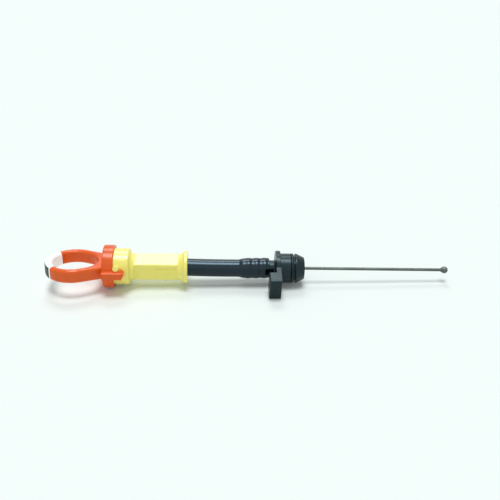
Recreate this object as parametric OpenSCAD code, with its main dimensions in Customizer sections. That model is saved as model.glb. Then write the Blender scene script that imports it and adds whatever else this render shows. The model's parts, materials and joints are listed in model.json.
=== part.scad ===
// Oil dipstick locked in its guide tube: a finger ring with a bayonet collar on a square tube head,
// a rubber hose on a barbed engine plug with a bolt lug, and a round gauge wire with a ball tip.
// Every piece is drawn along the tube's axis, +X towards the ball, with the plug's seat face at x = 0
// and the lug towards -Y. lay_down() then lays the whole thing on z = 0 as it comes to rest.

/* [Gauge wire] */
// Diameter of the steel wire
wire_d = 2.25; // [1.6:0.05:3]
// Distance from the engine seat to the centre of the ball
tip_reach = 124.7; // [60:0.1:300]
// Diameter of the ball at the wire's end
tip_d = 5.2; // [4:0.1:7]
// Length of the cone that runs from the wire into the ball
tip_cone = 1.8; // [1:0.1:2.4]
// Outer diameter of the sleeve crimped on the wire
ferrule_d = 4.4; // [3.8:0.1:5]
// Length of the crimped sleeve
ferrule_len = 6.8; // [4:0.1:9]
// Part of the sleeve that stands out of the handle's stem
ferrule_show = 1.9; // [0.5:0.1:3]

/* [Finger ring] */
// Outer diameter of the finger ring
ring_d = 40.6; // [34:0.1:50]
// Radial thickness of the finger ring
ring_wall = 5.2; // [4.9:0.1:8]
// Height of the finger ring
ring_h = 10; // [8:0.1:12]
// Rounding of the ring's long edges
ring_edge = 2.3; // [0.5:0.1:2.4]
// Width over the ring's arms where they meet the collar
neck_w = 25.2; // [20:0.1:28]
// Distance from the ring's round to the collar
neck_len = 2.2; // [1:0.1:8]
// Thickness of the web between the finger hole and the collar
web_t = 4.9; // [3:0.1:7]

/* [Ring end cap] */
// Share of the ring, in degrees, that the end cap makes up
cap_arc = 92; // [60:1:120]
// Height by which the cap stands proud of the ring
cap_proud = 0.2; // [0:0.05:0.5]
// Length, in degrees, of the tongues that hold the cap
tongue_arc = 9; // [5:1:14]
// Radial thickness of the tongues
tongue_t = 2.4; // [1.5:0.1:3]
// Height of the tongues
tongue_h = 5; // [3:0.1:6]
// Thickness of the dark pad let into the cap
pad_t = 0.9; // [0.5:0.1:1.4]
// Height of the dark pad
pad_h = 8.6; // [5:0.1:9]
// White margin, in degrees, left at each end of the pad
pad_margin = 3; // [1:0.5:10]

/* [Bayonet collar] */
// Wall of the collar's skirt
collar_wall = 2.15; // [1.6:0.05:3]
// Length of the collar
collar_len = 7.8; // [6:0.1:11]
// Thickness of the collar's end wall
collar_end_t = 2.4; // [1.5:0.1:3.5]
// Height of each hook above the collar
hook_rise = 3.5; // [2:0.1:5]
// Width of each hook at its outer face
hook_top_w = 4.8; // [2.5:0.1:5.5]
// Width of each hook where it leaves the head
hook_root_w = 8; // [6:0.1:10]
// Length of the nib behind each peg
nib_len = 3.5; // [2:0.1:5]
// Height by which the nib stays short of the peg's centre line
nib_short = 0.9; // [0:0.1:1.3]
// Height of the nib's outer edge above the collar
nib_rise = 0.9; // [0.5:0.1:1.5]
// How far the hook's far end slants back
hook_slant = 3.2; // [2:0.1:4]
// Angle from the ring's plane up to the locked peg
seat_angle = 18; // [14:0.5:22]

/* [Handle stem] */
// Diameter of the stem that plugs the tube head
stem_d = 8.6; // [7.4:0.1:9]
// Length of the stem
stem_len = 13; // [11:0.1:15]
// Thickness of the stem's seal ring
stem_seal_t = 1.9; // [1.2:0.1:2]
// Distance from the collar's end wall to the stem's seal
stem_seal_x = 4.5; // [3:0.1:5.5]

/* [Tube head] */
// Diameter of the round head
head_d = 26.8; // [24:0.1:30]
// Length of the round head
head_len = 16.3; // [14:0.1:22]
// Side of the square body
body_w = 14.4; // [12:0.1:16]
// Rounding of the body's long edges
body_edge = 1.2; // [0.5:0.1:3]
// Length from the head's shoulder to the foot's outer face
body_len = 42.3; // [30:0.1:80]
// Diameter of the foot flange
foot_d = 23.8; // [20:0.1:26]
// Thickness of the foot flange
foot_t = 2.9; // [2:0.1:5]
// Length of the flare that runs into the foot
flare_len = 4.4; // [2:0.1:4.7]
// Length of the flare that runs into the round head
head_flare = 3.4; // [2:0.1:5]
// Width of the flat rib along two sides of the body
rib_w = 2.5; // [1.5:0.1:4]
// Height of the flat rib
rib_h = 0.3; // [0.1:0.05:0.6]
// Length of the flat rib
rib_len = 22; // [8:0.1:28]
// Distance of the rib's middle from the middle of its side
rib_off = 2.1; // [0:0.1:3]
// Diameter of the two locking pegs
peg_d = 4.5; // [3.5:0.1:5]
// Height of the pegs above the round head
peg_rise = 3.6; // [2.5:0.1:4.5]
// Angle of the pegs above the lug's direction
peg_angle = 32; // [0:1:60]
// Diameter of the mouth that the stem plugs
mouth_d = 9.2; // [9.2:0.1:10]
// Depth of the mouth
mouth_depth = 15.6; // [15.6:0.1:17]
// Bore that guides the wire
guide_d = 4.6; // [3.6:0.1:5]
// Length of the stub inside the hose
stub_len = 16; // [10:0.1:24]

/* [Hose] */
// Outer diameter of the hose
hose_d = 13; // [11:0.1:14]
// Bore of the hose
hose_bore = 7; // [6.4:0.1:7.4]
// Length of hose between foot and plug
hose_len = 60.2; // [40:0.1:120]
// Depth of the hose inside the foot
hose_grip = 6.6; // [4:0.1:9]

/* [Engine plug] */
// Diameter of the plug's spigot
spigot_d = 21.8; // [20:0.1:24]
// Length of the spigot from the seat to its nose
spigot_len = 18; // [16:0.1:26]
// Diameter of the nose
nose_d = 16.2; // [12:0.1:19]
// Length of the nose's cone
nose_len = 5.8; // [3:0.1:6]
// Thickness of the spigot's seal ring
plug_seal_t = 2.65; // [2:0.05:3]
// Height of the seal ring above the spigot
plug_seal_proud = 0.2; // [0.1:0.05:0.6]
// Distance from the seat to the seal groove
groove_x = 7.5; // [5:0.1:8]
// Width of the seal groove
groove_w = 3.7; // [3.4:0.1:4]
// Diameter of the flange
flange_d = 25.8; // [24.5:0.1:30]
// Thickness of the flange
flange_t = 3.3; // [2.5:0.1:5]
// Diameter of the neck behind the flange
collet_d = 11.4; // [10.6:0.1:13]
// Length of the neck behind the flange
collet_len = 4.7; // [3.5:0.1:8]
// Rounding where the neck runs into the flange
collet_fillet = 1.6; // [0.5:0.1:2.2]
// Bore through the plug
plug_bore = 6; // [4:0.1:6.4]
// Diameter of the hose barbs
barb_d = 9.3; // [8.9:0.1:9.8]
// Depth of the barbs
barb_depth = 0.22; // [0.1:0.02:0.4]
// Distance from the neck's shoulder to the first barb
barb_start = 3.4; // [2.4:0.1:5]
// Length of each barb's cone
barb_len = 2.4; // [1.6:0.1:3]
// Distance from barb to barb
barb_pitch = 6; // [5:0.1:7]
// Number of barbs
barb_count = 3; // [2:1:4]
// Length over which the hose widens on to the barbs
swell_len = 5.2; // [3:0.1:8]

/* [Bolt lug] */
// Distance from the tube's axis to the lug's outer end
lug_end = 25.8; // [24:0.1:32]
// Distance from the tube's axis to the lug's inner face
lug_start = 14.6; // [13.5:0.1:15]
// Width of the lug
lug_w = 17.1; // [14:0.1:22]
// Thickness of the lug along the bolt
lug_t = 8.9; // [6:0.1:9]
// Rounding of the lug's outer corners
lug_corner = 2; // [1:0.1:4]
// Rounding of the lug's other edges
lug_edge = 1.2; // [0.3:0.1:1.3]
// Distance from the tube's axis to the bolt
bolt_offset = 19.8; // [19.5:0.1:21]
// Bolt hole through the steel bush
bolt_d = 6.5; // [5:0.1:7]
// Outer diameter of the steel bush
bush_d = 9; // [8.4:0.1:9.4]

/* [Clearances] */
// Gap between pieces that turn on each other
turn_gap = 0.25; // [0.15:0.05:0.4]
// Gap between the stem's seal and the mouth
seal_gap = 0.05; // [0.02:0.01:0.1]
// Gap between pieces that are fixed together
seat_gap = 0.03; // [0.01:0.01:0.05]

/* [Hidden] */
$fn = 96;

orange = [0.85, 0.36, 0.18];
yellow = [0.93, 0.88, 0.42];
black_plastic = [0.16, 0.19, 0.20];
black_rubber = [0.12, 0.13, 0.15];
bright_steel = [0.72, 0.72, 0.70];
wire_steel = [0.45, 0.47, 0.44];

// Stations along the axis, from the seat back to the ring
flange_x = -flange_t;
shoulder_x = flange_x - collet_len;
foot_x = shoulder_x - hose_len;
socket_x = foot_x - hose_grip;
head_x = foot_x - body_len;
mouth_x = head_x - head_len;
wall_x = mouth_x - turn_gap;
collar_x = wall_x - collar_end_t;
rim_x = collar_x + collar_len;
ring_x = collar_x - neck_len - ring_d / 2;
peg_x = rim_x + turn_gap + peg_d / 2;
stem_x = wall_x + stem_len;
ferrule_x = stem_x + ferrule_show - ferrule_len;
wire_x = ferrule_x - wire_d;
wire_end = tip_reach - tip_d / 4;

// Radii that fit one piece to another
collar_in = head_d / 2 + turn_gap;
collar_r = collar_in + collar_wall;
hook_r = collar_r + hook_rise;
stem_seal_r = mouth_d / 2 - seal_gap;
stem_groove_r = stem_seal_r - stem_seal_t - seat_gap;
stem_groove_w = stem_seal_t * 1.25;
plug_seal_r = spigot_d / 2 + plug_seal_proud;
plug_groove_r = plug_seal_r - plug_seal_t - seat_gap;
pocket_r = peg_d / 2 + turn_gap;
ring_in = ring_d / 2 - ring_wall;
ring_mid = ring_d / 2 - ring_wall / 2;

// The ring's arms leave its round at arm_angle and run straight into the collar. The finger hole ends
// in a smaller round, hole_x from the ring's centre, that keeps the arms as thick as the ring.
arm_reach = [neck_len + ring_d / 2, neck_w / 2];
arm_len = sqrt(arm_reach * arm_reach - pow(ring_d / 2, 2));
arm_angle = atan2(arm_reach[1], arm_reach[0]) + acos(ring_d / 2 / norm(arm_reach));
hole_end = arm_reach[0] - web_t;
hole_r = (ring_in - hole_end * cos(arm_angle)) / (1 - cos(arm_angle));
hole_x = hole_end - hole_r;

// Places on the hooks
nib_x = peg_x + pocket_r;
nib_top = collar_r * sin(seat_angle) - nib_short;
hook_x = nib_x + nib_len;
hook_lean = -0.3;
hook_nose = 1.6;
nib_land = 0.8;

// Barbs of the plug, and the stretch of hose that opens over them
barb_x = shoulder_x - barb_start;
barb_lead = 0.5;
barb_end = barb_x - (barb_count - 1) * barb_pitch - barb_len - barb_lead;
barb_core_r = barb_d / 2 - barb_depth;
swell_x = barb_end + barb_lead - swell_len;
hose_steps = 48;

// Small forms: fillets, edges, lead-ins, the mould's gate mark on the lug
head_edge = 1.2;
mouth_edge = 0.6;
mouth_lead = 0.6;
guide_cone = 2;
collar_edge = 0.8;
hook_edge = 0.5;
hook_round = 1.2;
stem_edge = 0.6;
tongue_edge = 0.4;
ferrule_edge = 0.4;
peg_chamfer = 0.4;
foot_lip = 0.35;
foot_edge = 0.6;
rim_chamfer = 0.4;
flange_chamfer = 0.4;
nose_edge = 0.7;
nose_land = 1.2;
groove_edge = 0.3;
gate_d = 1.4;
gate_rise = 0.25;

// Depth by which joined forms run into each other and cuts run past a face
bite = 1;
// Length over which the ring's round ends run inside the slightly thicker arms
lap = 0.3;
// Facets of small rounds
small_fn = 48;

// How far the handle is turned from the lug's direction when it is locked
lock_turn = peg_angle - seat_angle;

// Rest on a flat surface: the collar's rim and the flange touch it, and the lug rolls down on to it
touch_span = -flange_chamfer - (rim_x - rim_chamfer);
rest_slope = atan((collar_r - flange_d / 2) / touch_span);
lug_reach = [lug_end - lug_corner, lug_w / 2 - lug_corner];
rest_roll = asin((flange_d / 2 - lug_corner) / norm(lug_reach)) - atan2(lug_reach[1], lug_reach[0]);
handle_roll = rest_roll - lock_turn;
near_y = -(lug_reach[0] * cos(rest_roll) + lug_reach[1] * sin(rest_roll) + lug_corner);
far_y = (ring_d / 2 - ring_edge) * cos(handle_roll) + (ring_h / 2 - ring_edge) * abs(sin(handle_roll))
        + ring_edge;
left_x = (ring_x - ring_d / 2 - cap_proud) * cos(rest_slope) - pad_h / 2 * sin(rest_slope);
right_x = tip_reach * cos(rest_slope) + tip_d / 2;
lift = flange_d / 2 * cos(rest_slope) - flange_chamfer * sin(rest_slope);

module lay_down()
    translate([-(left_x + right_x) / 2, -(near_y + far_y) / 2, lift])
        rotate([rest_roll, rest_slope, 0])
            children();

// The handle and all that hangs on it, turned into the lock
module lay_locked()
    lay_down()
        rotate([-lock_turn, 0, 0])
            children();

// Outline of a convex shape whose corner i is rounded by radii[i]; points run anticlockwise
function unit(v) = v / norm(v);
function outward(a, b) = [unit(b - a)[1], -unit(b - a)[0]];
function before(p, i) = p[(i + len(p) - 1) % len(p)];
function after(p, i) = p[(i + 1) % len(p)];
function corner_centre(p, i, r) =
    let (na = outward(before(p, i), p[i]), nb = outward(p[i], after(p, i)))
        p[i] - r * (na + nb) / (1 + na * nb);
function tangents(p, i, r) = r == 0 ? [p[i]] :
    [corner_centre(p, i, r) + r * outward(before(p, i), p[i]),
     corner_centre(p, i, r) + r * outward(p[i], after(p, i))];

module rounded(points, radii) {
    polygon([for (i = [0:len(points) - 1]) each tangents(points, i, radii[i])]);
    for (i = [0:len(points) - 1])
        if (radii[i] > 0)
            translate(corner_centre(points, i, radii[i]))
                circle(r = radii[i], $fn = small_fn);
}

module rounded_box(w, h, r)
    rounded([[-w, -h] / 2, [w, -h] / 2, [w, h] / 2, [-w, h] / 2], [r, r, r, r]);

// Extrudes a section in Y and Z along the axis
module along_x(from, to)
    translate([from, 0, 0])
        rotate([90, 0, 90])
            linear_extrude(to - from)
                children();

// Turns an outline of [x, radius] about the axis
module turned()
    rotate([0, 90, 0])
        rotate_extrude()
            mirror([1, -1])
                children();

module rod(from, to, d)
    translate([from, 0, 0])
        rotate([0, 90, 0])
            cylinder(h = to - from, d = d);

module cone(from, to, d1, d2)
    translate([from, 0, 0])
        rotate([0, 90, 0])
            cylinder(h = to - from, d1 = d1, d2 = d2);

// An O-ring about the axis, with r its outer radius and t its section
module seal_ring(x, r, t)
    turned()
        translate([x, r - t / 2])
            circle(d = t, $fn = small_fn);

// Fills the corner where a turned face at x meets a body of radius r on its left or right side
module turned_fillet(x, r, fillet, side)
    turned()
        difference() {
            translate([side > 0 ? x - bite : x - fillet, 0])
                square([fillet + bite, r + fillet]);
            translate([x + side * fillet, r + fillet])
                circle(r = fillet, $fn = small_fn);
        }

// Angle of a short stretch along the middle of the finger ring's wall
function arc_of(stretch) = stretch / ring_mid * 180 / PI;

// A slice of the ring, seen from above, arc degrees wide about its outer end
module ring_slice(arc)
    translate([ring_x, 0, 0])
        linear_extrude(3 * ring_h, center = true)
            polygon([[0, 0], for (i = [-4:4]) [-cos(i * arc / 8), sin(i * arc / 8)] * ring_d]);

module ring_of(w, h, r)
    translate([ring_x, 0, 0])
        rotate_extrude()
            translate([ring_mid, 0])
                rounded_box(w, h, r);

// The sector to the right of x from the ring's centre, between the places where the arms leave
module arm_sector(x)
    translate([ring_x + x, 0, 0])
        linear_extrude(3 * ring_h, center = true)
            polygon([[0, 0], [cos(arm_angle), -sin(arm_angle)] * ring_d, [ring_d, -ring_d],
                     [ring_d, ring_d], [cos(arm_angle), sin(arm_angle)] * ring_d]);

// One straight arm: full section beside the finger hole, then its outer part into the collar's end wall
module arm()
    translate([ring_x, 0, 0])
        rotate([0, 0, arm_angle - 90])
            translate([0, ring_mid, 0]) {
                along_x(-lap, hole_x * sin(arm_angle))
                    rounded_box(ring_wall + 2 * seat_gap, ring_h + 2 * seat_gap, ring_edge);
                along_x(hole_x * sin(arm_angle) - bite, arm_len + bite)
                    intersection() {
                        rounded_box(ring_wall + 2 * seat_gap, ring_h + 2 * seat_gap, ring_edge);
                        translate([ring_edge - ring_wall / 2, -ring_h])
                            square([ring_wall, 2 * ring_h]);
                    }
            }

// The web closes the finger hole between the arms, with the ring's rounding along the hole
module web() {
    web_r = hole_r + ring_wall / 2;
    web_x = hole_x + web_r * cos(arm_angle);
    web_y = web_r * sin(arm_angle);
    end_x = arm_reach[0] + collar_end_t / 2;
    end_y = web_y - (end_x - web_x) / tan(arm_angle);
    intersection() {
        translate([ring_x + hole_x, 0, 0])
            rotate_extrude()
                intersection() {
                    translate([web_r, 0])
                        rounded_box(ring_wall, ring_h, ring_edge);
                    translate([0, -ring_h])
                        square([web_r, 2 * ring_h]);
                }
        arm_sector(hole_x - lap / sin(arm_angle));
    }
    translate([ring_x, 0, 0])
        linear_extrude(ring_h, center = true)
            difference() {
                polygon([[web_x, -web_y], [end_x, -end_y], [end_x, end_y], [web_x, web_y]]);
                translate([hole_x, 0])
                    circle(r = (web_r + hole_r + ring_edge) / 2);
            }
}

// Arms and web, cut off inside the collar's end wall
module neck()
    intersection() {
        union() {
            arm();
            mirror([0, 1, 0])
                arm();
            web();
        }
        translate([ring_x, -ring_d, -ring_h])
            cube([arm_reach[0] + collar_end_t / 2, 2 * ring_d, 2 * ring_h]);
    }

// Section of a hook in Y and Z: wide where it leaves the head, narrow outside
module hook_section()
    rounded([[-hook_r, -hook_lean - hook_top_w / 2], [bite - collar_in, hook_lean - hook_root_w / 2],
             [bite - collar_in, hook_lean + hook_root_w / 2], [-hook_r, -hook_lean + hook_top_w / 2]],
            [hook_edge, 0, 0, hook_edge]);

// The nib rises past the middle of the peg, on the side that the peg could leave by
module nib_section()
    rounded([[-hook_r + hook_rise / 3, 0], [bite - collar_in, 0],
             [bite - collar_in, nib_top], [-collar_r - nib_rise, nib_top]], [0, 0, 0, hook_edge]);

// A hook seen from the side, with its slanting end
module hook_side()
    translate([0, -collar_in, 0])
        rotate([90, 0, 0])
            linear_extrude(2 * hook_r, center = true)
                rounded([[collar_x + rim_chamfer, -hook_root_w / 2],
                         [hook_x - hook_slant, -hook_root_w / 2], [hook_x, hook_nose],
                         [nib_x + nib_land, nib_top], [peg_x, nib_top], [peg_x, nib_top + hook_edge],
                         [collar_x + rim_chamfer, nib_top + hook_edge]],
                        [hook_edge, hook_round, collar_edge, hook_edge, 0, 0, 0]);

module hook()
    difference() {
        intersection() {
            union() {
                along_x(collar_x + rim_chamfer, hook_x)
                    hook_section();
                along_x(peg_x, hook_x)
                    nib_section();
            }
            hook_side();
        }
        rod(collar_x, hook_x + bite, 2 * collar_in);
        translate([peg_x, 0, 0])
            rotate([90 - seat_angle, 0, 0])
                cylinder(r = pocket_r, h = 2 * hook_r);
    }

module collar()
    difference() {
        turned()
            rounded([[collar_x, 0], [rim_x, 0], [rim_x, collar_r], [collar_x, collar_r]],
                    [0, 0, rim_chamfer, collar_edge]);
        rod(wall_x, rim_x + bite, 2 * collar_in);
    }

module stem() {
    seal_x = wall_x + stem_seal_x;
    difference() {
        turned()
            rounded([[wall_x - bite, 0], [stem_x, 0], [stem_x, stem_d / 2], [wall_x - bite, stem_d / 2]],
                    [0, 0, stem_edge, 0]);
        turned()
            translate([seal_x - stem_groove_w / 2, stem_groove_r])
                square([stem_groove_w, stem_d]);
    }
}

// The open ring, with a tongue on each end for the cap
module open_ring() {
    difference() {
        ring_of(ring_wall, ring_h, ring_edge);
        ring_slice(cap_arc);
        arm_sector(0);
    }
    difference() {
        intersection() {
            ring_of(tongue_t, tongue_h, tongue_edge);
            ring_slice(cap_arc + arc_of(2 * bite));
        }
        ring_slice(cap_arc - 2 * tongue_arc);
    }
}

module pull_handle()
    color(orange)
        lay_locked()
            difference() {
                union() {
                    open_ring();
                    neck();
                    collar();
                    stem();
                    for (turn = [0, 180])
                        rotate([turn, 0, 0])
                            hook();
                }
                rod(ferrule_x - seat_gap, stem_x + bite, ferrule_d + 2 * seat_gap);
                rod(wire_x - seat_gap, stem_x, wire_d + 2 * seat_gap);
            }

// The pad lies in a recess of its own shape in the cap's outer face
module pad_blank(gap, over)
    intersection() {
        translate([ring_x, 0, 0])
            rotate_extrude()
                translate([ring_d / 2 + cap_proud - pad_t - gap, -pad_h / 2 - gap])
                    square([pad_t + gap + over, pad_h + 2 * gap]);
        ring_slice(cap_arc - 2 * pad_margin + arc_of(2 * gap));
    }

module ring_end_cap()
    color("white")
        lay_locked()
            difference() {
                intersection() {
                    ring_of(ring_wall + 2 * cap_proud, ring_h + 2 * cap_proud, ring_edge);
                    ring_slice(cap_arc - arc_of(2 * seat_gap));
                }
                difference() {
                    ring_of(tongue_t + 2 * seat_gap, tongue_h + 2 * seat_gap, tongue_edge);
                    ring_slice(cap_arc - 2 * tongue_arc - arc_of(2 * seat_gap));
                }
                pad_blank(seat_gap, bite);
            }

module ring_end_pad()
    color(black_rubber)
        lay_locked()
            intersection() {
                pad_blank(0, bite);
                ring_of(ring_wall + 2 * cap_proud, ring_h + 2 * cap_proud, ring_edge);
            }

module stem_seal()
    color(black_rubber)
        lay_locked()
            seal_ring(wall_x + stem_seal_x, stem_seal_r, stem_seal_t);

module wire_ferrule()
    color(bright_steel)
        lay_locked()
            difference() {
                turned()
                    rounded([[ferrule_x, 0], [stem_x + ferrule_show, 0],
                             [stem_x + ferrule_show, ferrule_d / 2],
                             [ferrule_x, ferrule_d / 2]], [0, 0, ferrule_edge, 0]);
                rod(wire_x, stem_x + ferrule_show + bite, wire_d + 2 * seat_gap);
            }

module gauge_wire()
    color(wire_steel)
        lay_locked()
            rod(wire_x, wire_end, wire_d);

module gauge_tip()
    color(wire_steel)
        lay_locked()
            difference() {
                union() {
                    translate([tip_reach, 0, 0])
                        rotate([0, 90, 0])
                            sphere(d = tip_d);
                    cone(wire_end - tip_cone, wire_end, wire_d + 4 * seat_gap, tip_d * cos(30));
                }
                rod(tip_reach - tip_d, wire_end + seat_gap, wire_d + 2 * seat_gap);
            }

// Side of a flare: it leaves a wall at half-width from and opens along an arc, no further than to
module flare_side(len, from, to) {
    rise = min(to - from, len);
    arc_r = (len * len + rise * rise) / (2 * rise);
    difference() {
        square([len, from + rise]);
        translate([0, from + arc_r])
            circle(r = arc_r);
    }
}

// The square body opens into a round rim of radius to, its corners along an arc of their own
module flare(len, to) {
    half_w = body_w / 2 - seat_gap;
    corner_r = half_w * sqrt(2) - body_edge * (sqrt(2) - 1);
    intersection() {
        for (turn = [0, 90])
            rotate([turn, 0, 0])
                linear_extrude(3 * to, center = true)
                    for (side = [0, 1])
                        mirror([0, side])
                            flare_side(len, half_w, to);
        turned()
            flare_side(len, corner_r, to);
    }
}

// Round head, square body and flared foot of the guide tube, one moulding
module head_outside() {
    turned()
        rounded([[mouth_x, 0], [head_x, 0], [head_x, head_d / 2], [mouth_x, head_d / 2]],
                [0, 0, head_edge, mouth_edge]);
    along_x(head_x - bite, foot_x - foot_t)
        rounded_box(body_w, body_w, body_edge);
    translate([head_x + head_flare, 0, 0])
        mirror([1, 0, 0])
            flare(head_flare, head_d / 2 - head_edge);
    translate([foot_x - foot_t - flare_len, 0, 0])
        flare(flare_len, foot_d / 2 - foot_lip);
    turned()
        rounded([[foot_x - foot_t, 0], [foot_x, 0], [foot_x, foot_d / 2], [foot_x - foot_t, foot_d / 2]],
                [0, 0, foot_edge, foot_edge]);
    for (side = [0, 180])
        rotate([side, 0, 0])
            translate([foot_x - foot_t - rib_len, -body_w / 2 - rib_h, rib_off - rib_w / 2])
                cube([rib_len, rib_h + bite, rib_w]);
}

// A locking peg with a chamfered end, standing out of the round head
module peg() {
    peg_end = head_d / 2 + peg_rise;
    translate([peg_x, 0, 0])
        rotate([90 - peg_angle, 0, 0])
            rotate_extrude()
                polygon([[0, collar_in / 2], [peg_d / 2, collar_in / 2], [peg_d / 2, peg_end - peg_chamfer],
                         [peg_d / 2 - peg_chamfer, peg_end], [0, peg_end]]);
}

module tube_head()
    color(yellow)
        lay_down()
            difference() {
                union() {
                    head_outside();
                    rod(socket_x, foot_x + stub_len, hose_bore - 2 * seat_gap);
                    for (turn = [0, 180])
                        rotate([turn, 0, 0])
                            peg();
                }
                rod(mouth_x - bite, mouth_x + mouth_depth, mouth_d);
                cone(mouth_x + mouth_depth, mouth_x + mouth_depth + guide_cone, mouth_d, guide_d);
                cone(mouth_x - bite, mouth_x + mouth_lead, mouth_d + 2 * (mouth_lead + bite), mouth_d);
                rod(mouth_x, foot_x + stub_len + bite, guide_d);
                difference() {
                    rod(socket_x, foot_x + bite, hose_d + 2 * seat_gap);
                    rod(socket_x - bite, foot_x + 2 * bite, hose_bore - 2 * seat_gap);
                }
            }

// The hose swells over the plug's barbs and shows a low wave over each of them
function swell(x) = (1 - cos(180 * min(1, max(0, (x - swell_x) / swell_len)))) / 2;
function wave(x) = barb_depth * (1 + cos(360 * (x - barb_x) / barb_pitch)) / 2;
function stretched(x) = swell(x) * (barb_core_r + seat_gap - hose_bore / 2 + wave(x));

module hose() {
    start_x = socket_x + seat_gap;
    end_x = shoulder_x - seat_gap;
    stations = [for (i = [0:hose_steps]) swell_x + (end_x - swell_x) * i / hose_steps];
    color(black_rubber)
        lay_down()
            turned()
                polygon([[start_x, hose_bore / 2],
                         for (x = stations) [x, hose_bore / 2 + stretched(x)],
                         for (i = [hose_steps:-1:0]) [stations[i], hose_d / 2 + stretched(stations[i])],
                         [start_x, hose_d / 2]]);
}

// Outline of flange and lug, seen along the axis
module lug_outline(start)
    rounded([[-lug_end, -lug_w / 2], [-start, -lug_w / 2], [-start, lug_w / 2], [-lug_end, lug_w / 2]],
            [lug_corner, start > 0 ? lug_edge : 0, start > 0 ? lug_edge : 0, lug_corner]);

module flange()
    turned()
        rounded([[flange_x, 0], [0, 0], [0, flange_d / 2], [flange_x, flange_d / 2]],
                [0, 0, flange_chamfer, flange_chamfer]);

// The thick lug, with its edges rounded along both faces, and the flange's web that carries it
module lug() {
    intersection() {
        along_x(-lug_t, 0)
            lug_outline(lug_start);
        linear_extrude(2 * lug_w, center = true)
            rounded([[-lug_t, -lug_end], [0, -lug_end], [0, 0], [-lug_t, 0]],
                    [lug_edge, lug_edge / 2, 0, 0]);
        rotate([90, 0, 0])
            linear_extrude(2 * lug_end)
                rounded([[-lug_t, -lug_w / 2], [0, -lug_w / 2], [0, lug_w / 2], [-lug_t, lug_w / 2]],
                        [lug_edge, 0, 0, lug_edge]);
    }
    along_x(flange_x, 0)
        intersection() {
            lug_outline(0);
            translate([-lug_start - lug_corner, -lug_w / 2])
                square([lug_start + lug_corner, lug_w]);
        }
    translate([-lug_t / 2, -lug_end - gate_rise, 0])
        rotate([-90, 0, 0])
            cylinder(d = gate_d, h = 2 * gate_rise);
}

module spigot() {
    nose_x = spigot_len - nose_len;
    difference() {
        turned()
            rounded([[-bite, 0], [spigot_len, 0], [spigot_len, nose_d / 2], [nose_x, spigot_d / 2],
                     [-bite, spigot_d / 2]], [0, 0, nose_edge, nose_edge, 0]);
        turned()
            rounded([[groove_x, plug_groove_r], [groove_x + groove_w, plug_groove_r],
                     [groove_x + groove_w, spigot_d], [groove_x, spigot_d]],
                    [groove_edge, groove_edge, 0, 0]);
        cone(spigot_len - nose_land, spigot_len + bite, plug_bore, plug_bore + 2 * (nose_land + bite));
    }
}

// Hollow neck for the hose: each barb is a cone that ends in a sharp step towards the flange
module barbed_neck() {
    rod(shoulder_x, flange_x + bite, collet_d);
    turned_fillet(flange_x, collet_d / 2, collet_fillet, -1);
    rod(barb_end + barb_lead, shoulder_x + bite, 2 * barb_core_r);
    cone(barb_end, barb_end + barb_lead, 2 * (barb_core_r - barb_lead), 2 * barb_core_r);
    for (i = [0:barb_count - 1])
        cone(barb_x - i * barb_pitch - barb_len, barb_x - i * barb_pitch, 2 * barb_core_r, barb_d);
}

module engine_plug()
    color(black_plastic)
        lay_down()
            difference() {
                union() {
                    flange();
                    lug();
                    spigot();
                    barbed_neck();
                }
                rod(barb_end - bite, spigot_len + bite, plug_bore);
                translate([0, -bolt_offset, 0])
                    rod(-lug_t - bite, bite, bush_d + 2 * seat_gap);
            }

module plug_seal()
    color(black_rubber)
        lay_down()
            seal_ring(groove_x + plug_seal_t / 2 + seal_gap, plug_seal_r, plug_seal_t);

module lug_bush()
    color(bright_steel)
        lay_down()
            translate([0, -bolt_offset, 0])
                difference() {
                    rod(-lug_t, 0, bush_d);
                    rod(-lug_t - bite, bite, bolt_d);
                }

pull_handle();
ring_end_cap();
ring_end_pad();
stem_seal();
wire_ferrule();
gauge_wire();
gauge_tip();
tube_head();
hose();
engine_plug();
plug_seal();
lug_bush();
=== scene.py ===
"""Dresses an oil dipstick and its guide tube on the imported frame: finishes, soft hose, studio and camera."""

import json
import logging
import math
from dataclasses import dataclass
from enum import Enum

import bmesh
import bpy
from mathutils import Matrix, Quaternion, Vector


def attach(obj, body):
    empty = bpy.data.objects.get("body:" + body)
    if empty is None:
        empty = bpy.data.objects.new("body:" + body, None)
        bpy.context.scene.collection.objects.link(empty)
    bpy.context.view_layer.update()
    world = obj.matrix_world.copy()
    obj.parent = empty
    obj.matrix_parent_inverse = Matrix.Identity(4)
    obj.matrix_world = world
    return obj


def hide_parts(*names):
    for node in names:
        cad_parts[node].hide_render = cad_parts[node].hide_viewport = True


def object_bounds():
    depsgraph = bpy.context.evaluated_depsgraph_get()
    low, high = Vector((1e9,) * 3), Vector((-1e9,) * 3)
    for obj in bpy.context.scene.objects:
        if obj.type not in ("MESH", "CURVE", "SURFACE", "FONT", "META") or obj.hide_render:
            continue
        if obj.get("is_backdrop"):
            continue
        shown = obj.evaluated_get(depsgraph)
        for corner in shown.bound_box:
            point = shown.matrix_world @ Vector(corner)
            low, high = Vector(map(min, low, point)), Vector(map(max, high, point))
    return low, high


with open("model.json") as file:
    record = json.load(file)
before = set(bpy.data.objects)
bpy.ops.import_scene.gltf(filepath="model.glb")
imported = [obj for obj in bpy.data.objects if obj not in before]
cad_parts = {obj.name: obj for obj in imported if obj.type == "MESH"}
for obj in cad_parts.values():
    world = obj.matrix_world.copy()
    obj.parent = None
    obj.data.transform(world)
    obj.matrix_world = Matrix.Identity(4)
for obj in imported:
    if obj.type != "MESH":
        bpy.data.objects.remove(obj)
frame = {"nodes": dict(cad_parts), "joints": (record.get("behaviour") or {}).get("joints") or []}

Colour = tuple[float, float, float]
Range = tuple[float, float]
Socket = bpy.types.NodeSocket
Sockets = dict[str, Socket]
Value = float | Colour | Socket

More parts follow.
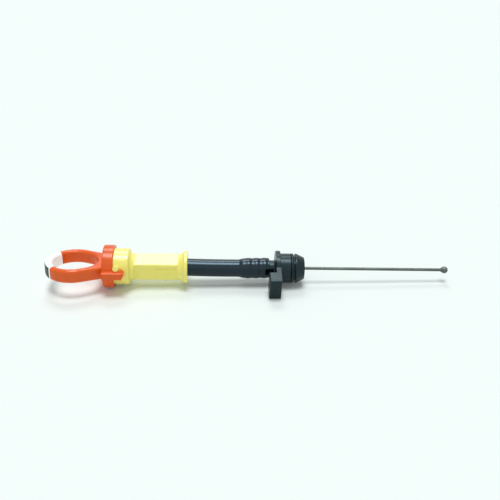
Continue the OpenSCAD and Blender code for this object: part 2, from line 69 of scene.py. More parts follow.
LOG = logging.getLogger("dipstick")
MM = 0.001
MERGE_DISTANCE = 0.001 * MM
SHARP_DEGREES = 35.0
UNIT: Range = (0.0, 1.0)
PURE_WHITE: Colour = (1.0, 1.0, 1.0)


class Body(Enum):
    """The two bodies that turn on each other."""

    GUIDE_TUBE = "guide_tube"
    DIPSTICK = "dipstick"


class Slot(Enum):
    """The part's material slots."""

    ORANGE = "orange_plastic"
    WHITE = "white_plastic"
    PAD = "dark_pad"
    SEAL = "seal_rubber"
    PLATED = "plated_steel"
    WIRE = "wire_steel"
    YELLOW = "yellow_plastic"
    HOSE = "hose_rubber"
    BLACK = "black_plastic"


def linear(red: int, green: int, blue: int) -> Colour:
    """Turns a screen colour into scene light.

    Args:
        red: Red from 0 to 255.
        green: Green from 0 to 255.
        blue: Blue from 0 to 255.

    Returns:
        The three linear values.
    """
    full, toe, slope, offset, power = 255, 0.04045, 12.92, 0.055, 2.4
    parts = (red / full, green / full, blue / full)
    return tuple(v / slope if v <= toe else ((v + offset) / (1 + offset)) ** power for v in parts)


class NodeBench:
    """Adds nodes to one shader tree and links them."""

    def __init__(self, tree: bpy.types.NodeTree) -> None:
        """Keeps the tree that the nodes go into."""
        self.tree = tree

    @classmethod
    def of(cls, owner: bpy.types.Material | bpy.types.World) -> "NodeBench":
        """Empties the node tree of a material or a world.

        Args:
            owner: The material or world.

        Returns:
            A bench for its tree.
        """
        owner.use_nodes = True
        owner.node_tree.nodes.clear()
        return cls(owner.node_tree)

    def add(self, kind: str, inputs: dict[str, Value] | None = None, **settings: object) -> bpy.types.Node:
        """Adds one node.

        Args:
            kind: Blender's type name of the node.
            inputs: Values or sockets for its inputs, by name or identifier.
            settings: Other properties of the node.

        Returns:
            The node.
        """
        node = self.tree.nodes.new(kind)
        for name, value in settings.items():
            setattr(node, name, value)
        for name, value in (inputs or {}).items():
            socket = self.find(node.inputs, name)
            if isinstance(value, Socket):
                self.tree.links.new(value, socket)
            elif socket.type == "RGBA":
                socket.default_value = (*value, 1.0)
            else:
                socket.default_value = value
        return node

    @staticmethod
    def find(sockets: bpy.types.bpy_prop_collection, name: str) -> Socket:
        """Finds a socket by its identifier, or else by its name."""
        return next((s for s in sockets if s.identifier == name), None) or sockets[name]

    def use(self, group: bpy.types.NodeTree, inputs: dict[str, Value]) -> Sockets:
        """Places a shared group and returns its outputs by name."""
        return dict(self.add("ShaderNodeGroup", inputs, node_tree=group).outputs.items())

    def maths(self, operation: str, first: Value, second: Value = 0.0, clamp: bool = False) -> Socket:
        """Works out one sum, which clamp keeps between 0 and 1, and returns the result."""
        inputs = {"Value": first, "Value_001": second}
        return self.add("ShaderNodeMath", inputs, operation=operation, use_clamp=clamp).outputs[0]

    def spread(self, value: Socket, source: Range, target: Range = UNIT) -> Socket:
        """Maps a value from one range to another, clamps it and returns the result."""
        ranges = {"From Min": source[0], "From Max": source[1], "To Min": target[0], "To Max": target[1]}
        return self.add("ShaderNodeMapRange", {"Value": value, **ranges}).outputs["Result"]

    def blend(self, factor: Value, first: Value, second: Value) -> Socket:
        """Mixes two colours, from 0 for the first to 1 for the second, and returns the mix."""
        inputs = {"Factor_Float": factor, "A_Color": first, "B_Color": second}
        return self.find(self.add("ShaderNodeMix", inputs, data_type="RGBA").outputs, "Result_Color")

    def noise(self, vector: Socket, scale: Value, detail: float) -> Socket:
        """Adds a noise texture and returns its value's socket."""
        inputs = {"Vector": vector, "Scale": scale, "Detail": detail}
        return self.add("ShaderNodeTexNoise", inputs).outputs["Fac"]


class Effects:
    """Shader node groups that the finishes share, each built once.

    The values in capitals shape the patterns and are the same in every finish.
    """

    FLOAT = "NodeSocketFloat"
    VECTOR = "NodeSocketVector"
    PATCHES_PER_FLOW = 3.7
    TONE_RANGE: Range = (0.3, 0.7)
    GLOSS_RANGE: Range = (0.32, 0.68)
    SCRATCH_TURN = (0.4, 0.7, 0.5)
    SCRATCH_STRETCH = (1.0, 5.0, 11.0)
    SCRATCH_LEVEL = 0.5
    SCRATCH_WIDTH = 0.006
    SCRATCH_BREAKS: Range = (0.53, 0.62)
    SPECK_LEVEL = 0.86
    SPECK_SIZE = 0.16
    STREAK_RANGE: Range = (0.35, 0.65)

    def __init__(self) -> None:
        """Builds every group."""
        self.grain = self._grain()
        self.scratches = self._scratches()
        self.dust = self._dust()
        self.lines = self._lines()

    def _start(self, name: str, numbers: list[str], results: list[str]) -> tuple[NodeBench, Sockets, Sockets]:
        """Starts a group with a Vector input.

        Args:
            name: Name of the group.
            numbers: Names of its number inputs.
            results: Names of its outputs.

        Returns:
            The bench, the input sockets by name, and the output sockets by name.
        """
        tree = bpy.data.node_groups.new(name, "ShaderNodeTree")
        tree.interface.new_socket(name="Vector", in_out="INPUT", socket_type=self.VECTOR)
        for number in numbers:
            tree.interface.new_socket(name=number, in_out="INPUT", socket_type=self.FLOAT)
        for result in results:
            tree.interface.new_socket(name=result, in_out="OUTPUT", socket_type=self.FLOAT)
        bench = NodeBench(tree)
        entry = bench.add("NodeGroupInput")
        leave = bench.add("NodeGroupOutput")
        return bench, dict(entry.outputs.items()), dict(leave.inputs.items())

    def _grain(self) -> bpy.types.NodeTree:
        """Builds the skin of a moulded piece: fine grain, slow flow marks and uneven gloss.

        Returns:
            The group.
        """
        bench, given, leave = self._start("moulded_grain", ["Grain Scale", "Flow Scale"],
                                          ["Height", "Tone", "Gloss"])
        fine = bench.noise(given["Vector"], given["Grain Scale"], detail=3.0)
        flow = bench.noise(given["Vector"], given["Flow Scale"], detail=2.0)
        patch_scale = bench.maths("MULTIPLY", given["Flow Scale"], self.PATCHES_PER_FLOW)
        patches = bench.noise(given["Vector"], patch_scale, detail=4.0)
        bench.tree.links.new(fine, leave["Height"])
        bench.tree.links.new(bench.spread(flow, self.TONE_RANGE), leave["Tone"])
        bench.tree.links.new(bench.spread(patches, self.GLOSS_RANGE), leave["Gloss"])
        return bench.tree

    def _scratches(self) -> bpy.types.NodeTree:
        """Builds thin handling scratches: the level lines of a stretched noise, broken up by another.

        Returns:
            The group.
        """
        bench, given, leave = self._start("handling_scratches", ["Scale", "Amount"], ["Mask"])
        mapping = {"Vector": given["Vector"], "Rotation": self.SCRATCH_TURN, "Scale": self.SCRATCH_STRETCH}
        stretched = bench.add("ShaderNodeMapping", mapping).outputs[0]
        wander = bench.noise(stretched, given["Scale"], detail=1.0)
        distance = bench.maths("ABSOLUTE", bench.maths("SUBTRACT", wander, self.SCRATCH_LEVEL))
        thin = bench.spread(distance, (0.0, self.SCRATCH_WIDTH), (1.0, 0.0))
        broken = bench.spread(bench.noise(given["Vector"], given["Scale"], detail=2.0), self.SCRATCH_BREAKS)
        mask = bench.maths("MULTIPLY", bench.maths("MULTIPLY", thin, broken), given["Amount"])
        bench.tree.links.new(mask, leave["Mask"])
        return bench.tree

    def _dust(self) -> bpy.types.NodeTree:
        """Builds specks of dust: small dots in a few of a cell texture's cells.

        Returns:
            The group.
        """
        bench, given, leave = self._start("dust_specks", ["Scale", "Amount"], ["Mask"])
        cells = bench.add("ShaderNodeTexVoronoi", {"Vector": given["Vector"], "Scale": given["Scale"]})
        chance = bench.add("ShaderNodeSeparateColor", {"Color": cells.outputs["Color"]}).outputs[0]
        size = bench.spread(chance, (self.SPECK_LEVEL, 1.0), (0.0, self.SPECK_SIZE))
        dot = bench.maths("LESS_THAN", cells.outputs["Distance"], size)
        bench.tree.links.new(bench.maths("MULTIPLY", dot, given["Amount"]), leave["Mask"])
        return bench.tree

    def _lines(self) -> bpy.types.NodeTree:
        """Builds fine lines along the part's length, as drawing or extruding leaves them.

        Returns:
            The group.
        """
        bench, given, leave = self._start("drawn_lines", ["Scale", "Stretch"], ["Height", "Tone"])
        shrink = bench.add("ShaderNodeCombineXYZ", {"X": given["Stretch"], "Y": 1.0, "Z": 1.0}).outputs[0]
        factors = {"Vector": given["Vector"], "Vector_001": shrink}
        pulled = bench.add("ShaderNodeVectorMath", factors, operation="MULTIPLY").outputs[0]
        streaks = bench.noise(pulled, given["Scale"], detail=4.0)
        bench.tree.links.new(streaks, leave["Height"])
        bench.tree.links.new(bench.spread(streaks, self.STREAK_RANGE), leave["Tone"])
        return bench.tree


@dataclass(frozen=True)
class Finish:
    """A surface's colour, gloss and grain.

    Attributes:
        slot: The part's slot that it dresses.
        colour: Its main colour.
        second: The colour that the main one drifts to in patches.
        gloss: Lowest and highest roughness.
        grain: Size of a grain, in metres.
        depth: Depth of the grain, in metres.
        flow: Size of a flow mark, in metres.
        ior: Index of refraction.
        tint: Colour of the highlights.
        relief: Share of the depth that the light sees.
    """

    slot: Slot
    colour: Colour
    second: Colour
    gloss: Range
    grain: float
    depth: float
    flow: float = 12.0 * MM
    ior: float = 1.5
    tint: Colour = PURE_WHITE
    relief: float = 0.6

    def material(self, effects: Effects) -> bpy.types.Material:
        """Builds the finish's material.

        Args:
            effects: The shared node groups.

        Returns:
            The material.
        """
        made = bpy.data.materials.new(self.slot.value)
        bench = NodeBench.of(made)
        place = bench.add("ShaderNodeTexCoord").outputs["Object"]
        shader = bench.add("ShaderNodeBsdfPrincipled", self._surface(bench, effects, place))
        bench.add("ShaderNodeOutputMaterial", {"Surface": shader.outputs[0]})
        return made

    def _surface(self, bench: NodeBench, effects: Effects, place: Socket) -> dict[str, Value]:
        """Gives the values and sockets that the shader takes."""
        raise NotImplementedError

    def _skin(self, bench: NodeBench, effects: Effects, place: Socket) -> Sockets:
        """Places the moulded grain at the finish's sizes and returns its outputs by name."""
        scales = {"Grain Scale": 1 / self.grain, "Flow Scale": 1 / self.flow}
        return bench.use(effects.grain, {"Vector": place, **scales})

    def _streaks(self, bench: NodeBench, effects: Effects, place: Socket, stretch: float) -> Sockets:
        """Places lines as fine as the grain, pulled along by stretch, and returns their outputs by name."""
        return bench.use(effects.lines, {"Vector": place, "Scale": 1 / self.grain, "Stretch": stretch})

    def _bump(self, bench: NodeBench, height: Socket) -> Socket:
        """Turns a height into a normal, as deep as the finish says."""
        inputs = {"Height": height, "Distance": self.depth, "Strength": self.relief}
        return bench.add("ShaderNodeBump", inputs).outputs[0]


@dataclass(frozen=True)
class PlasticFinish(Finish):
    """A moulded plastic skin with flow marks, handling scratches and a little dust.

    Attributes:
        scratches: How much the scratches show, up to 1.
        scratch_scale: How close together they are.
        scuff_gain: How much paler a scratch is than the colour.
        scuff_lift: Grey that a scratch adds to the colour.
        scratch_depth: Depth of a scratch in grain depths.
        scratch_roughness: Roughness that a scratch adds.
        dust: How much the dust shows, up to 1.
        dust_scale: How close together its specks are.
        dust_colour: Its colour.
        coat: Weight of the clear skin over the colour.
        coat_roughness: Roughness of that skin.
        glow: Painted light: a faint glow of the surface's own, which makes a piece look overexposed, brighter
            than the lamps light it.
    """

    scratches: float = 0.35
    scratch_scale: float = 90.0
    scuff_gain: float = 1.25
    scuff_lift: float = 0.05
    scratch_depth: float = 0.5
    scratch_roughness: float = 0.25
    dust: float = 0.3
    dust_scale: float = 420.0
    dust_colour: Colour = (0.55, 0.53, 0.48)
    coat: float = 0.0
    coat_roughness: float = 0.12
    glow: float = 0.0

    def _surface(self, bench: NodeBench, effects: Effects, place: Socket) -> dict[str, Value]:
        """Lays scratches and dust over the moulded skin.

        Args:
            bench: The bench for the material's nodes.
            effects: The shared node groups.
            place: The piece's own coordinates.

        Returns:
            The values and sockets that the shader takes.
        """
        skin = self._skin(bench, effects, place)
        marks = bench.use(effects.scratches,
                          {"Vector": place, "Scale": self.scratch_scale, "Amount": self.scratches})["Mask"]
        specks = bench.use(effects.dust,
                           {"Vector": place, "Scale": self.dust_scale, "Amount": self.dust})["Mask"]
        scuff = tuple(min(1.0, v * self.scuff_gain + self.scuff_lift) for v in self.colour)
        scuffed = bench.blend(marks, bench.blend(skin["Tone"], self.colour, self.second), scuff)
        dusty = bench.blend(specks, scuffed, self.dust_colour)
        gloss = bench.spread(skin["Gloss"], UNIT, self.gloss)
        dulled = bench.maths("MULTIPLY", marks, self.scratch_roughness)
        cut = bench.maths("MULTIPLY", marks, self.scratch_depth)
        return {
            "Base Color": dusty,
            "Roughness": bench.maths("ADD", gloss, dulled, clamp=True),
            "Normal": self._bump(bench, bench.maths("SUBTRACT", skin["Height"], cut)),
            "Coat Weight": self.coat,
            "Coat Roughness": self.coat_roughness,
            # Painted light: the glow adds light of the surface's own on top of what the lamps give.
            "Emission Color": dusty,
            "Emission Strength": self.glow,
            "IOR": self.ior,
            "Specular Tint": self.tint,
        }


@dataclass(frozen=True)
class RubberFinish(Finish):
    """Black rubber with fine lines along its length and a pale bloom in patches.

    Attributes:
        bloom: How much the bloom shows, up to 1.
        bloom_colour: Its colour.
        dust: How much the dust shows, up to 1.
        dust_scale: How close together its specks are.
        dust_colour: Its colour.
        stretch: Scale of the lines along the part, with 1 for round grain.
        grain_share: Share of the moulded grain in the lines' depth.
    """

    bloom: float = 0.05
    bloom_colour: Colour = (0.16, 0.17, 0.17)
    dust: float = 0.25
    dust_scale: float = 520.0
    dust_colour: Colour = (0.4, 0.4, 0.38)
    stretch: float = 0.02
    grain_share: float = 0.3

    def _surface(self, bench: NodeBench, effects: Effects, place: Socket) -> dict[str, Value]:
        """Lays bloom and dust over the lined rubber.

        Args:
            bench: The bench for the material's nodes.
            effects: The shared node groups.
            place: The piece's own coordinates.

        Returns:
            The values and sockets that the shader takes.
        """
        skin = self._skin(bench, effects, place)
        lines = self._streaks(bench, effects, place, self.stretch)
        specks = bench.use(effects.dust,
                           {"Vector": place, "Scale": self.dust_scale, "Amount": self.dust})["Mask"]
        body = bench.blend(lines["Tone"], self.colour, self.second)
        bloomed = bench.blend(bench.maths("MULTIPLY", skin["Tone"], self.bloom), body, self.bloom_colour)
        grain = bench.maths("MULTIPLY", skin["Height"], self.grain_share)
        return {
            "Base Color": bench.blend(specks, bloomed, self.dust_colour),
            "Roughness": bench.spread(skin["Gloss"], UNIT, self.gloss),
            "Normal": self._bump(bench, bench.maths("ADD", lines["Height"], grain)),
            "IOR": self.ior,
            "Specular Tint": self.tint,
        }


@dataclass(frozen=True)
class SteelFinish(Finish):
    """Bare or plated steel with drawing lines and faint stains.

    Attributes:
        relief: Share of the depth that the light sees.
        stretch: Scale of the lines along the part, with 1 for round grain.
        stain_share: How far the stains shift the colour to the second one.
        line_share: How far the lines shift it.
    """

    relief: float = 0.4
    stretch: float = 0.01
    stain_share: float = 0.8
    line_share: float = 0.5

    def _surface(self, bench: NodeBench, effects: Effects, place: Socket) -> dict[str, Value]:
        """Lays stains over the drawn metal.

        Args:
            bench: The bench for the material's nodes.
            effects: The shared node groups.
            place: The piece's own coordinates.

        Returns:
            The values and sockets that the shader takes.
        """
        skin = self._skin(bench, effects, place)
        lines = self._streaks(bench, effects, place, self.stretch)
        stained = bench.maths("MULTIPLY", skin["Tone"], self.stain_share)
        drawn = bench.maths("MULTIPLY", lines["Tone"], self.line_share)
        shift = bench.maths("ADD", stained, drawn, clamp=True)
        return {
            "Base Color": bench.blend(shift, self.colour, self.second),
            "Metallic": 1.0,
            "Roughness": bench.spread(skin["Gloss"], UNIT, self.gloss),
            "Normal": self._bump(bench, lines["Height"]),
        }


FINISHES: tuple[Finish, ...] = (
    PlasticFinish(Slot.ORANGE, linear(238, 98, 12), linear(229, 86, 8), (0.18, 0.28), 0.5 * MM, 0.006 * MM,
                  ior=1.47, tint=(1.0, 0.92, 0.85)),
    # The white cap's finish glows faintly: painted light that makes it look overexposed.
    PlasticFinish(Slot.WHITE, linear(245, 254, 253), linear(241, 251, 250), (0.22, 0.32), 0.5 * MM,
                  0.01 * MM, dust=0.1, glow=0.2),
    PlasticFinish(Slot.PAD, linear(50, 55, 52), linear(38, 43, 41), (0.45, 0.6), 0.35 * MM, 0.04 * MM),
    PlasticFinish(Slot.YELLOW, linear(254, 243, 114), linear(252, 239, 106), (0.36, 0.46), 0.5 * MM,
                  0.003 * MM, coat=0.9, ior=1.56),
    PlasticFinish(Slot.BLACK, linear(6, 14, 17), linear(4, 10, 13), (0.28, 0.32), 0.4 * MM, 0.002 * MM,
                  scratches=0.1, dust=0.1, ior=1.46, tint=(0.62, 0.9, 1.0)),
    RubberFinish(Slot.HOSE, linear(2, 3, 5), linear(1, 2, 3), (0.18, 0.22), 0.4 * MM, 0.001 * MM,
                 bloom=0.02, tint=(0.55, 0.8, 1.0)),
    RubberFinish(Slot.SEAL, linear(7, 12, 14), linear(5, 9, 11), (0.3, 0.4), 0.4 * MM, 0.006 * MM,
                 stretch=1.0, ior=1.42, tint=(0.6, 0.88, 1.0)),
    SteelFinish(Slot.WIRE, linear(108, 114, 111), linear(86, 91, 88), (0.34, 0.46), 0.3 * MM, 0.01 * MM),
    SteelFinish(Slot.PLATED, linear(104, 106, 102), linear(84, 86, 83), (0.25, 0.36), 0.3 * MM,
                0.01 * MM, stretch=1.0),
)


@dataclass(frozen=True)
class TubeAxis:
    """The line that the tube and the dipstick share, taken from the joint between them."""

    origin: Vector
    direction: Vector

    @classmethod
    def of_joint(cls, joint: dict) -> "TubeAxis":
        """Reads the axis from a joint of the record."""
        return cls(Vector(joint["pos_m"]), Vector(joint["axis"]).normalized())

    def matrix(self) -> Matrix:
        """Works out how a shape along +X from the joint comes to lie along the axis.

        Returns:
            The turn and shift to the row frame.
        """
        side = Vector((0, 0, 1)).cross(self.direction).normalized()
        up = self.direction.cross(side)
        turn = Matrix((self.direction, side, up)).transposed()
        return Matrix.Translation(self.origin) @ turn.to_4x4()

    def span(self, node: str) -> tuple[float, float]:
        """Gives a CAD node's first and last station along the axis, from the joint."""
        stations = [(v.co - self.origin).dot(self.direction) for v in frame["nodes"][node].data.vertices]
        return min(stations), max(stations)


@dataclass
class SubAssembly:
    """Pieces that ride on one body, with the materials that dress them."""

    materials: dict[Slot, bpy.types.Material]
    body: Body

    def dress(self, node: str, slot: Slot) -> None:
        """Gives a CAD node its finish.

        Args:
            node: Name of the node.
            slot: The finish's slot.
        """
        shown = frame["nodes"][node]
        shown.data.materials.clear()
        shown.data.materials.append(self.materials[slot])
        LOG.info("%s: on %s, dressed in %s", node, self.body.value, slot.value)

    def add(self, name: str, shape: bmesh.types.BMesh, place: Matrix, slot: Slot) -> bpy.types.Object:
        """Makes a finished piece of a shape and lets it ride.

        Args:
            name: Name of the piece.
            shape: Its mesh, about the tube's axis. It is freed.
            place: The turn and shift to the row frame.
            slot: The slot that its finish comes from.

        Returns:
            The piece.
        """
        bmesh.ops.transform(shape, matrix=place, verts=shape.verts)
        bmesh.ops.remove_doubles(shape, verts=shape.verts, dist=MERGE_DISTANCE)
        bmesh.ops.recalc_face_normals(shape, faces=shape.faces)
        mesh = bpy.data.meshes.new(name)
        shape.to_mesh(mesh)
        shape.free()
        mesh.shade_smooth()
        mesh.set_sharp_from_angle(angle=math.radians(SHARP_DEGREES))
        piece = bpy.data.objects.new(name, mesh)
        bpy.context.scene.collection.objects.link(piece)
        piece.data.materials.append(self.materials[slot])
        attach(piece, self.body.value)
        LOG.info("%s: on %s, %d faces, in %s", name, self.body.value, len(mesh.polygons), slot.value)
        return piece


@dataclass
class GaugeStick(SubAssembly):
    """The steel wire with its ball, and what holds and seals it in the handle's stem."""

    body: Body = Body.DIPSTICK

    def build(self) -> None:
        """Dresses the wire, the ball, the crimped sleeve and the stem's seal."""
        self.dress("gauge_wire", Slot.WIRE)
        self.dress("gauge_tip", Slot.WIRE)
        self.dress("wire_ferrule", Slot.PLATED)
        self.dress("stem_seal", Slot.SEAL)


@dataclass
class PullHandle(SubAssembly):
    """The orange finger ring with its collar and hooks, the white end cap and its dark pad."""

    body: Body = Body.DIPSTICK

    def build(self) -> None:
        """Dresses the handle, the cap and the pad."""
        self.dress("pull_handle", Slot.ORANGE)
        self.dress("ring_end_cap", Slot.WHITE)
        self.dress("ring_end_pad", Slot.PAD)


@dataclass
class TubeHead(SubAssembly):
    """The yellow moulding that the dipstick locks into."""

    body: Body = Body.GUIDE_TUBE

    def build(self) -> None:
        """Dresses the moulding."""
        self.dress("tube_head", Slot.YELLOW)


@dataclass
class Hose(SubAssembly):
    """The black rubber hose, pushed into the foot and stretched over the plug's barbs.

    Attributes:
        body: The body that it rides on.
        outer: Free outer radius.
        bore: Free inner radius.
        stretch: Growth of the radius over the barbs.
        ripple: Further growth at each barb's ridge.
        first_barb: From the hose's end at the plug to the nearest barb's ridge.
        barb_pitch: From one ridge to the next.
        barb_count: Number of barbs.
        barb_len: From the farthest ridge to where the growth is full.
        swell_len: Length over which the growth comes in.
        sag: How far the middle hangs.
        wrinkle: Height of the fine wrinkles over the barbs.
        wrinkle_pitch: From one wrinkle to the next.
        wrinkle_turns: How often they wind round the hose.
        cut_edge: Width of the small bevel at each end.
        cut_segments: Faces across that bevel.
        touch: Distance below which a vertex counts as on an end.
        rings: Number of rings along the hose.
        sides: Number of faces round it.
    """

    body: Body = Body.GUIDE_TUBE
    outer: float = 6.5 * MM
    bore: float = 3.5 * MM
    stretch: float = 0.86 * MM
    ripple: float = 0.32 * MM
    first_barb: float = 3.37 * MM
    barb_pitch: float = 6.0 * MM
    barb_count: int = 3
    barb_len: float = 2.4 * MM
    swell_len: float = 5.2 * MM
    sag: float = 0.55 * MM
    wrinkle: float = 0.006 * MM
    wrinkle_pitch: float = 1.45 * MM
    wrinkle_turns: int = 5
    cut_edge: float = 0.25 * MM
    cut_segments: int = 3
    touch: float = 0.025 * MM
    rings: int = 320
    sides: int = 96

    def widening(self, station: float, end: float) -> float:
        """Works out how far the rubber is pushed out.

        Args:
            station: Place along the axis.
            end: The hose's end at the plug.

        Returns:
            The growth of the radius there.
        """
        barb = end - self.first_barb
        full = barb - (self.barb_count - 1) * self.barb_pitch - self.barb_len
        way = min(1.0, max(0.0, 1 - (full - station) / self.swell_len))
        wave = self.ripple * (1 + math.cos(2 * math.pi * (station - barb) / self.barb_pitch)) / 2
        return (1 - math.cos(math.pi * way)) / 2 * (self.stretch + wave)

    def relax(self, shape: bmesh.types.BMesh, start: float, end: float) -> None:
        """Wrinkles the rubber that is stretched over the barbs and lets the hose sag.

        Args:
            shape: The hose about the axis. Its vertices move.
            start: The hose's end at the foot.
            end: The hose's end at the plug.
        """
        for dot in shape.verts:
            turn = math.atan2(dot.co.y, dot.co.z)
            tight = self.widening(dot.co.x, end) / (self.stretch + self.ripple)
            phase = 2 * math.pi * dot.co.x / self.wrinkle_pitch + self.wrinkle_turns * turn
            radius = dot.co.yz.length
            dot.co.yz *= 1 + self.wrinkle * tight * math.sin(phase) / radius
            way = (dot.co.x - start) / (end - start)
            dot.co.z -= self.sag * 4 * way * (1 - way)

    def build(self, axis: TubeAxis) -> None:
        """Spins the hose's section about the axis and puts it in the CAD hose's place.

        Args:
            axis: The tube's axis.
        """
        start, end = axis.span("hose")
        shape = bmesh.new()
        corners = [(start, self.bore), (end, self.bore), (end, self.outer), (start, self.outer)]
        dots = [shape.verts.new((x, 0, r)) for x, r in corners]
        edges = [shape.edges.new((dots[i], dots[(i + 1) % len(dots)])) for i in range(len(dots))]
        bmesh.ops.subdivide_edges(shape, edges=[edges[0], edges[2]], cuts=self.rings)
        for dot in shape.verts:
            dot.co.z += self.widening(dot.co.x, end)
        bmesh.ops.spin(shape, geom=shape.verts[:] + shape.edges[:], cent=(0, 0, 0), axis=(1, 0, 0),
                       dvec=(0, 0, 0), angle=2 * math.pi, steps=self.sides, use_merge=True)
        rims = [e for e in shape.edges if self._is_rim(e, start, end)]
        bmesh.ops.bevel(shape, geom=rims, offset=self.cut_edge, offset_type="OFFSET", affect="EDGES",
                        segments=self.cut_segments, profile=0.5, material=-1)
        self.relax(shape, start, end)
        hose = self.add("rubber_hose", shape, axis.matrix(), Slot.HOSE)
        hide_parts("hose")

    def _is_rim(self, edge: bmesh.types.BMEdge, start: float, end: float) -> bool:
        """Looks for the edges that run round the hose's cut ends.

        Args:
            edge: The edge.
            start: The hose's end at the foot.
            end: The hose's end at the plug.

        Returns:
            Whether the edge is one of them.
        """
        first, second = (v.co for v in edge.verts)
        at_end = any(max(abs(first.x - x), abs(second.x - x)) < self.touch for x in (start, end))
        return at_end and abs(first.yz.length - second.yz.length) < self.touch


@dataclass
class EnginePlug(SubAssembly):
    """The black plug with its flange and lug, its seal ring and the lug's steel bush."""

    body: Body = Body.GUIDE_TUBE

    def build(self) -> None:
        """Dresses the plug, the seal and the bush."""
        self.dress("engine_plug", Slot.BLACK)
        self.dress("plug_seal", Slot.SEAL)
        self.dress("lug_bush", Slot.PLATED)


@dataclass(frozen=True)
class SunLamp:
    """A far, soft lamp.

    Attributes:
        name: Its name.
        strength: Its light.
        spread: How wide it looks, in degrees.
        tilt: Its angle from straight overhead, in degrees.
        azimuth: Where it tilts to, in degrees from the object's back.
    """

    name: str
    strength: float
    spread: float
    tilt: float
    azimuth: float

    def hang(self) -> None:
        """Adds the lamp to the scene."""
        data = bpy.data.lights.new(self.name, "SUN")
        data.energy = self.strength
        data.angle = math.radians(self.spread)
        lamp = bpy.data.objects.new(self.name, data)
        swing = Matrix.Rotation(math.radians(self.azimuth), 4, "Z")
        lamp.matrix_world = swing @ Matrix.Rotation(math.radians(-self.tilt), 4, "X")
        bpy.context.scene.collection.objects.link(lamp)
        LOG.info("%s: strength %.2f", self.name, self.strength)


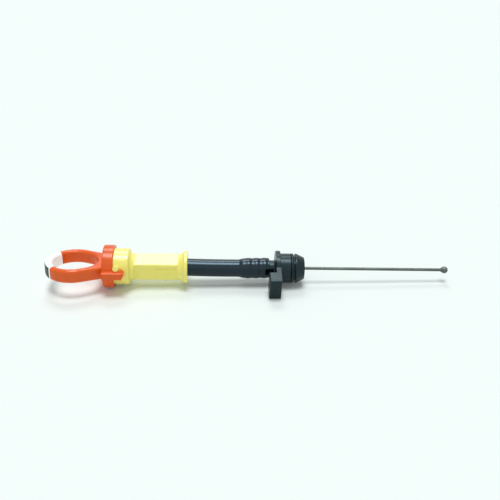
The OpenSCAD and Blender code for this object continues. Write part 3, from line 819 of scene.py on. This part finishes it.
@dataclass(frozen=True)
class Studio:
    """Pale floor, even world light and soft lamps.

    Attributes:
        paper: Colour that the floor and the backdrop show.
        paper_strength: Strength at which that colour shows as it is written.
        bounce: Colour of the floor under the lamps.
        fill: Strength of the world's light.
        floor_size: The floor's side, in metres.
        shadow_share: Share of the lit floor in what is seen, against plain paper.
        lamps: The lamps.
    """

    paper: Colour = linear(246, 255, 253)
    paper_strength: float = 1.0
    bounce: Colour = (0.858, 0.945, 0.925)
    fill: float = 0.3
    floor_size: float = 8.0
    shadow_share: float = 0.93
    lamps: tuple[SunLamp, ...] = (
        SunLamp("overhead_lamp", 1.7, 26.0, 2.5, 180.0),
        SunLamp("back_lamp", 0.64, 21.0, 36.0, 4.0),
        SunLamp("front_lamp", 0.22, 60.0, 45.0, 165.0),
    )

    def build(self, floor_z: float) -> None:
        """Builds the studio.

        Args:
            floor_z: Height of the floor.
        """
        self._world()
        self._floor(floor_z)
        for lamp in self.lamps:
            lamp.hang()

    def _seen(self, bench: NodeBench) -> Socket:
        """Picks the rays from the camera, from glossy surfaces and through glass.

        Args:
            bench: The bench for the material's or the world's nodes.

        Returns:
            A socket that is 1 for those rays.
        """
        path = bench.add("ShaderNodeLightPath").outputs
        glossy = bench.maths("MAXIMUM", path["Is Camera Ray"], path["Is Glossy Ray"])
        return bench.maths("MAXIMUM", glossy, path["Is Transmission Ray"])

    def _world(self) -> None:
        """Builds the world: even grey light, seen as the pale backdrop."""
        world = bpy.data.worlds.new("studio_world")
        bench = NodeBench.of(world)
        light = bench.add("ShaderNodeBackground", {"Color": PURE_WHITE, "Strength": self.fill})
        backdrop = bench.add("ShaderNodeBackground", {"Color": self.paper, "Strength": self.paper_strength})
        mixed = bench.add("ShaderNodeMixShader", {"Fac": self._seen(bench), "Shader": light.outputs[0],
                                                  "Shader_001": backdrop.outputs[0]})
        bench.add("ShaderNodeOutputWorld", {"Surface": mixed.outputs[0]})
        bpy.context.scene.world = world

    def _floor(self, floor_z: float) -> None:
        """Builds the floor, which shows the paper's colour and keeps the shadow.

        Args:
            floor_z: Its height.
        """
        sheet = bmesh.new()
        bmesh.ops.create_grid(sheet, x_segments=1, y_segments=1, size=self.floor_size / 2,
                              matrix=Matrix.Translation((0, 0, floor_z)))
        mesh = bpy.data.meshes.new("studio_floor")
        sheet.to_mesh(mesh)
        sheet.free()
        floor = bpy.data.objects.new("studio_floor", mesh)
        bpy.context.scene.collection.objects.link(floor)
        material = bpy.data.materials.new("floor_paper")
        bench = NodeBench.of(material)
        lit = bench.add("ShaderNodeBsdfDiffuse", {"Color": self.bounce})
        glow = bench.add("ShaderNodeEmission", {"Color": self.paper, "Strength": self.paper_strength})
        share = bench.maths("MULTIPLY", self._seen(bench), 1 - self.shadow_share)
        mixed = bench.add("ShaderNodeMixShader", {"Fac": share, "Shader": lit.outputs[0],
                                                  "Shader_001": glow.outputs[0]})
        bench.add("ShaderNodeOutputMaterial", {"Surface": mixed.outputs[0]})
        mesh.materials.append(material)
        floor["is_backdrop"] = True
        LOG.info("studio_floor: at %.5f m", floor_z)


@dataclass(frozen=True)
class Viewpoint:
    """The camera, as the photograph was taken, with angles in degrees and its place in metres."""

    lens_mm: float = 50.0
    sensor_mm: float = 36.0
    distance: float = 0.507
    azimuth: float = 2.36
    elevation: float = 27.27
    roll: float = 0.59
    aim: tuple[float, float, float] = (0.0003, 0.0, 0.0298)

    def build(self) -> None:
        """Creates the camera and makes it the scene's own."""
        data = bpy.data.cameras.new("view_camera")
        data.lens = self.lens_mm
        data.sensor_width = self.sensor_mm
        turn = math.radians(self.azimuth)
        rise = math.radians(self.elevation)
        forward = Vector((math.sin(turn) * math.cos(rise), math.cos(turn) * math.cos(rise), -math.sin(rise)))
        aimed = forward.to_track_quat("-Z", "Y") @ Quaternion((0, 0, 1), math.radians(self.roll))
        stand = Matrix.Translation(Vector(self.aim) - forward * self.distance)
        camera = bpy.data.objects.new("view_camera", data)
        camera.matrix_world = stand @ aimed.to_matrix().to_4x4()
        bpy.context.scene.collection.objects.link(camera)
        bpy.context.scene.camera = camera
        LOG.info("view_camera: %.0f mm lens, %.3f m away", self.lens_mm, self.distance)


def main() -> None:
    """Builds the sub-assemblies, the studio and the camera."""
    logging.basicConfig(level=logging.INFO, format="%(message)s")
    bpy.context.scene.view_settings.view_transform = "Standard"
    cad_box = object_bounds()
    effects = Effects()
    materials = {finish.slot: finish.material(effects) for finish in FINISHES}
    axis = TubeAxis.of_joint(frame["joints"][0])
    PullHandle(materials).build()
    GaugeStick(materials).build()
    TubeHead(materials).build()
    Hose(materials).build(axis)
    EnginePlug(materials).build()
    Studio().build(cad_box[0].z)
    Viewpoint().build()


if __name__ == "__main__":
    main()
